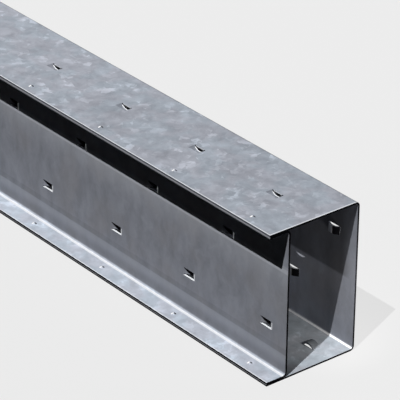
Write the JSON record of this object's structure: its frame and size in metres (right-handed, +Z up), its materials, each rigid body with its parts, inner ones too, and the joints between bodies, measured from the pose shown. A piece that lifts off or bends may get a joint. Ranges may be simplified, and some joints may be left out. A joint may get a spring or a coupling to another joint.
{
  "type": "steel box lintel",
  "caption": "Hollow box lintel folded from galvanised sheet, with a double flange along the front at top and bottom and pressed-in plaster keys.",
  "frame": {"origin": "centre of the underside, at mid length and mid width", "axes": "+X along the lintel, +Y from the flanged front to the plain back wall, +Z up"},
  "size_m": [1.2, 0.0966, 0.1439],
  "materials": {
    "galvanised_steel": "hot-dip zinc with a soft spangle"
  },
  "bodies": {
    "root": {"outer_channel": "galvanised_steel", "inner_channel": "galvanised_steel"}
  },
  "joints": []
}
